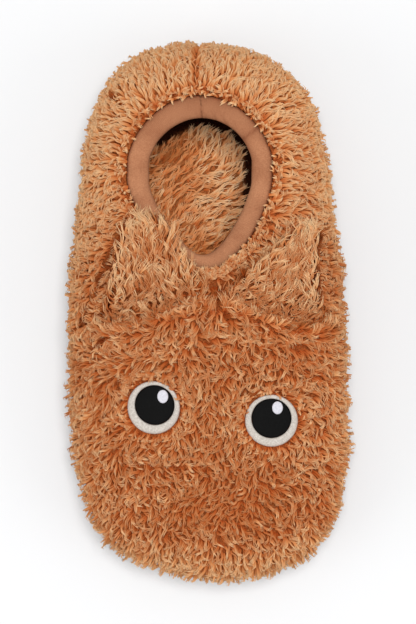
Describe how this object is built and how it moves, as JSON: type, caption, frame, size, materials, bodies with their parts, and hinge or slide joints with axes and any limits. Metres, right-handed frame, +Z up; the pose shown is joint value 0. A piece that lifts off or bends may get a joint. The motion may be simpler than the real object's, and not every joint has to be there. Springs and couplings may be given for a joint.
{
  "type": "house slipper",
  "caption": "Closed plush house slipper for the right foot, with a low oval collar, rib band, two stuffed ears and two embroidered eyes.",
  "frame": {"origin": "middle of the whole box in plan, at the height of the sole's flat spots", "axes": "+Z up, +Y toward the heel, -Y toward the toe, +X toward the inner (big-toe) side"},
  "size_m": [0.1328, 0.2558, 0.0913],
  "materials": {
    "plush": "curly brown pile",
    "footbed_plush": "combed pale pile",
    "rib_knit": "fine rib knit, pinkish brown",
    "outsole": "soft, matt",
    "pale_thread": "satin stitch",
    "black_thread": "satin stitch",
    "white_thread": "satin stitch"
  },
  "bodies": {
    "root": {"sole": "outsole", "insole": "footbed_plush", "upper": "plush", "collar_binding": "rib_knit", "ear_lateral": "plush", "ear_medial": "plush", "eye_ring_lateral": "pale_thread", "eye_pupil_lateral": "black_thread", "eye_glint_lateral": "white_thread", "eye_ring_medial": "pale_thread", "eye_pupil_medial": "black_thread", "eye_glint_medial": "white_thread"}
  },
  "joints": []
}
